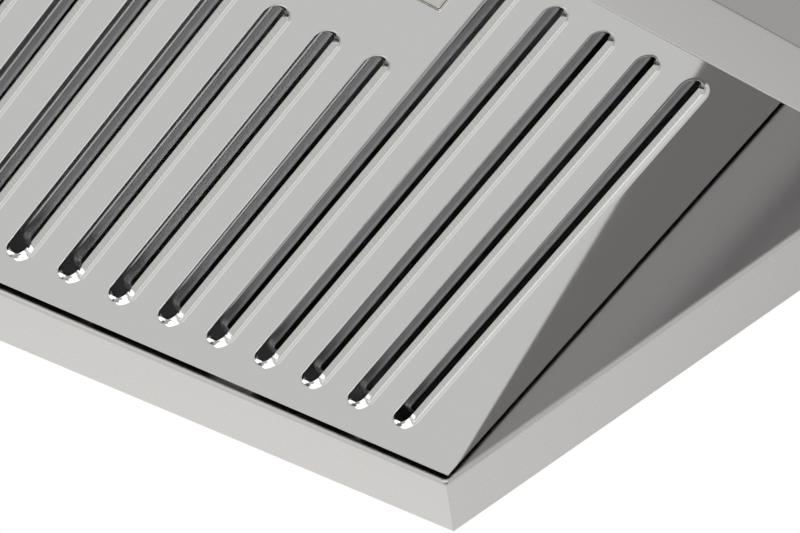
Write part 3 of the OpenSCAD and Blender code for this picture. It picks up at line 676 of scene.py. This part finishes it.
def makePiece(name, parts, material, body):
    # One mesh from several sheets of points and faces, joined where their edges meet. Its materials are those
    # of the shown side, the cut edges and the inner side, which the slots show on a rear plate
    starts = np.cumsum([0] + [len(points) for points, faces in parts])
    points = np.concatenate([points for points, faces in parts])
    faces = [face for start, (own, cells) in zip(starts, parts) for face in (cells + start).tolist()]
    mesh = bpy.data.meshes.new(name)
    mesh.from_pydata(points.tolist(), [], faces)
    work = bmesh.new()
    work.from_mesh(mesh)
    bmesh.ops.remove_doubles(work, verts=work.verts, dist=tiny["mesh"])
    work.to_mesh(mesh)
    work.free()
    mesh.shade_smooth()
    within = "backSteelPaintedBright" if material == "innerSteel" else "innerSteel"
    for own in (material, "cutSteel", within):
        mesh.materials.append(finish[own])
    piece = bpy.data.objects.new(name, mesh)
    bpy.context.scene.collection.objects.link(piece)
    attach(piece, body)
    return piece


def thicken(piece, thick, edge=cutEdge):
    # Sheet thickness on the inner side, then a small round on every cut edge
    addModifier(piece, "wall", "SOLIDIFY", thickness=thick / 1000, offset=-1, use_even_offset=True,
                material_offset_rim=1, material_offset=2)
    addModifier(piece, "rounding", "BEVEL", width=edge["round"] / 1000, segments=edge["steps"],
                limit_method="ANGLE", angle_limit=math.radians(cutEdge["angle"]))
    smoothBends(piece, cutEdge["split"])


def dullSides(pan):
    # The tray's side walls with the outer part of their folds, all faces near its two side planes, stay dull
    folded = len(pan.data.materials)
    pan.data.materials.append(finish["foldSteel"])
    faces = pan.data.polygons
    centres = np.empty(len(faces) * 3)
    faces.foreach_get("center", centres)
    x = centres.reshape(-1, 3)[:, 0] * 1000
    away = np.minimum(x - x.min(), x.max() - x)
    faces.foreach_set("material_index", np.where(away < filterShape["dull"], folded, 0).astype(np.int32))


def widened(points, side):
    # The tray's side next to the shell's wall, with all points within twice the fold's radius of it, stands
    # out by the hem's size, which leaves the photo's narrow gap
    x, near = points[:, 0], 2 * filterShape["fold"]
    moved = (x > filterShape["width"] - near) * 1 if side == "right" else (x < near) * -1
    return points + np.outer(moved, (filterShape["hem"], 0, 0))


def slotPaths(shift, count, short):
    # Round-ended slots side by side along X, the short ones ending below the latch
    paths = []
    for i in range(count):
        high = slotShape["high"] - (slotShape["cutShort"] if i in short else 0)
        middle, reach = (slotShape["low"] + high) / 2, (high - slotShape["low"]) / 2
        x = slotShape["first"] + (i + shift) * slotShape["pitch"]
        paths.append(ring((x, -middle), (0, reach), slotShape["roundSteps"]))
    return paths


def pressedPlate(outline, paths, extra):
    # Flat sheet with a lip pressed into each slot, whose rim is centre + way out times the lip's first
    # distance; `extra` holds further paths with their own profiles
    profile = lipProfile(slotShape, slotShape["half"])
    lips = [(path, profile) for path in paths] + extra
    flat, faces = sheetWithHoles(outline, [base + out * away[0] for (base, out), (away, height) in lips])
    parts = [(np.pad(flat, ((0, 0), (0, 1))), faces[:, ::-1])]
    parts += [lipSurface(path, *profile, slotShape["endDepth"], slotShape["endShift"]) for path in paths]
    parts += [lipSurface(path, *own) for path, own in extra]
    return parts


def trayWalls():
    # Folded edges: at height z the outline is a rectangle drawn in by r - sqrt(r^2 - (r - z)^2) on three
    # sides, while the rear goes on turning past upright by the slope and then leans in
    width, length, top, r = (filterShape[key] for key in ("width", "length", "height", "fold"))
    lean = math.radians(filterShape["slope"])
    low = r - r * np.cos(np.linspace(0, np.pi / 2, filterShape["foldSteps"] + 1))
    high = r + r * np.sin(np.linspace(0, lean, filterShape["leanSteps"] + 1)[1:])
    z = np.concatenate((low, high))
    side = r - np.sqrt(np.maximum(r ** 2 - np.maximum(r - z, 0) ** 2, 0))
    rear = np.sqrt(np.maximum(r ** 2 - (z - r) ** 2, 0)) - r
    front, right = side - length, width - side
    corners = [np.stack((x, y, z), axis=1)
               for x, y in ((side, front), (right, front), (right, rear), (side, rear))]
    parts = [(np.stack(corners, axis=1).reshape(-1, 3), bandFaces(len(z), 4))]

    # The front wall, upright above its fold, with the tongue's slot
    start = z[-1]
    middle, half = width / 2, tongueSlot["width"] / 2
    slot = rectangle(middle - half, tongueSlot["low"], middle + half, tongueSlot["high"])
    flat, faces = sheetWithHoles(rectangle(0, start, width, top), [slot])
    parts.append((lifted(flat, (0, -length, 0), (1, 0, 0), (0, 0, 1)), faces))

    # The rear wall, along the lean, with drain holes
    slant = (top - start) / math.cos(lean)
    turn = np.linspace(0, 2 * np.pi, drainHoles["steps"], endpoint=False)
    circle = drainHoles["radius"] * np.stack((np.cos(turn), np.sin(turn)), axis=1)
    holes = [circle + (share * width, drainHoles["height"] - start) for share in drainHoles["shares"]]
    flat, faces = sheetWithHoles(rectangle(0, 0, width, slant), holes)
    up = (0, -math.sin(lean), math.cos(lean))
    parts.append((lifted(flat, (width, rear[-1], start), (-1, 0, 0), up), faces))

    # Two plain side walls, narrower at the top by the lean
    rearTop = rear[-1] - (top - start) * math.tan(lean)
    left = np.array([(0, -length, start), (0, rear[-1], start), (0, rearTop, top), (0, -length, top)])
    parts.append((left, np.array([(3, 2, 1, 0)])))
    parts.append((left + (width, 0, 0), np.array([(0, 1, 2, 3)])))
    return parts


def makeFrontSheet(name, side, body):
    width, length, r = (filterShape[key] for key in ("width", "length", "fold"))
    window = windowShape
    middle = -(window["front"] + window["back"]) / 2
    halves = [size / 2 - window["corner"] for size in (window["width"], window["front"] - window["back"])]
    path = ring((width / 2, middle), halves, window["cornerSteps"])
    lip = lipProfile(window, window["corner"] + window["bend"])
    paths = slotPaths(0, slotShape["count"], slotShape["short"])
    parts = pressedPlate(rectangle(r, r - length, width - r, -r), paths, [(path, lip)]) + trayWalls()
    placed = [(onFilter(widened(points, side), side), faces) for points, faces in parts]
    pan = makePiece(name, placed, "filterSteel", body)
    dullSides(pan)
    thicken(pan, filterShape["sheet"])
    return pan


def makeTabs(name, side, body):
    tab = tabShape
    parts = []
    for share in tab["shares"]:
        middle, half = filterShape[side] + share * filterShape["width"], tab["width"] / 2
        flat = rectangle(middle - half, tab["start"], middle + half, tab["reach"])
        points = lifted(flat, (0, 0, tab["low"]), (1, 0, 0), (0, 1, 0)) / 1000
        parts.append((points, np.array([(3, 2, 1, 0)])))
    thicken(makePiece(name, parts, "filterSteel", body), tab["thick"])


def makeRearSheet(name, side, body):
    # It hangs face up at the tray's top, with one slot more, half a pitch off
    width, length, sheet = (filterShape[key] for key in ("width", "length", "sheet"))
    outline = rectangle(sheet, sheet - length, width - sheet, -rearPlate["rear"])
    parts = pressedPlate(outline, slotPaths(rearPlate["shift"], slotShape["count"] + 1, ()), [])
    top = (0, 0, filterShape["height"])
    placed = [(onFilter(points * (1, 1, -1) + top, side), faces[:, ::-1]) for points, faces in parts]
    back = makePiece(name, placed, "innerSteel", body)
    thicken(back, sheet, rearPlate)
    return back


def makeFilter(side, body):
    name = "filter_" + side
    pan = makeFrontSheet(name + "_front_sheet", side, body)
    makeTabs(name + "_tabs", side, body)
    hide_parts(name + "_pan")
    back = makeRearSheet(name + "_rear_sheet", side, body)
    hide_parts(name + "_back")


for side in ("left", "right"):
    makeFilter(side, "filter_" + side)
print("hood: filter plates pressed")

bpy.context.scene.view_settings.view_transform = "Standard"
